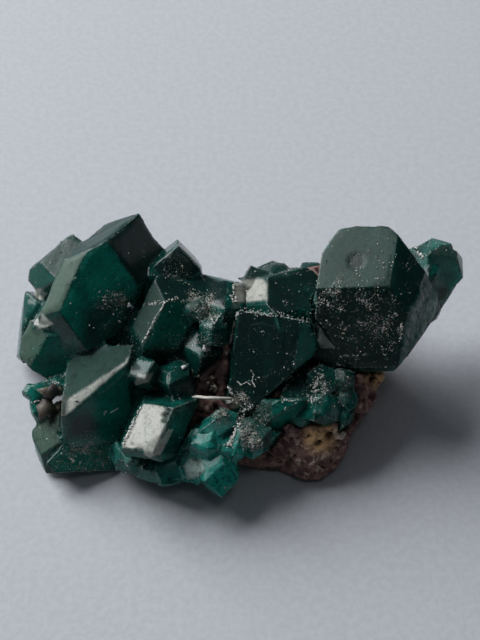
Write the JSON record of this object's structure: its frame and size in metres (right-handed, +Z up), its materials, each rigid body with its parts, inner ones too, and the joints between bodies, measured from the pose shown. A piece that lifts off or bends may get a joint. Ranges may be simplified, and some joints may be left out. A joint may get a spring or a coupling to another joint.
{
  "type": "dioptase on matrix",
  "caption": "Mineral specimen of intergrown glassy emerald-green dioptase crystals on a lump of brown porous matrix with a flat foot.",
  "frame": {"origin": "on the level of the flat broken foot, under the middle of the specimen's width and depth", "axes": "+Z up, +X to the right along the widest span, -Y towards the front"},
  "size_m": [0.0463, 0.0282, 0.0193],
  "materials": {
    "dioptase_left": "glassy, almost opaque, dusty in places",
    "dioptase_right": "etched satin top face, glassy elsewhere",
    "dioptase_centre": "glassy with pale dusty rims",
    "dioptase_front": "clear emerald, glassy",
    "matrix": "dull, rough, porous"
  },
  "bodies": {
    "root": {"left_crystal_group": "dioptase_left", "right_crystal_group": "dioptase_right", "centre_crystal_group": "dioptase_centre", "front_druse": "dioptase_front", "matrix": "matrix"}
  },
  "joints": []
}
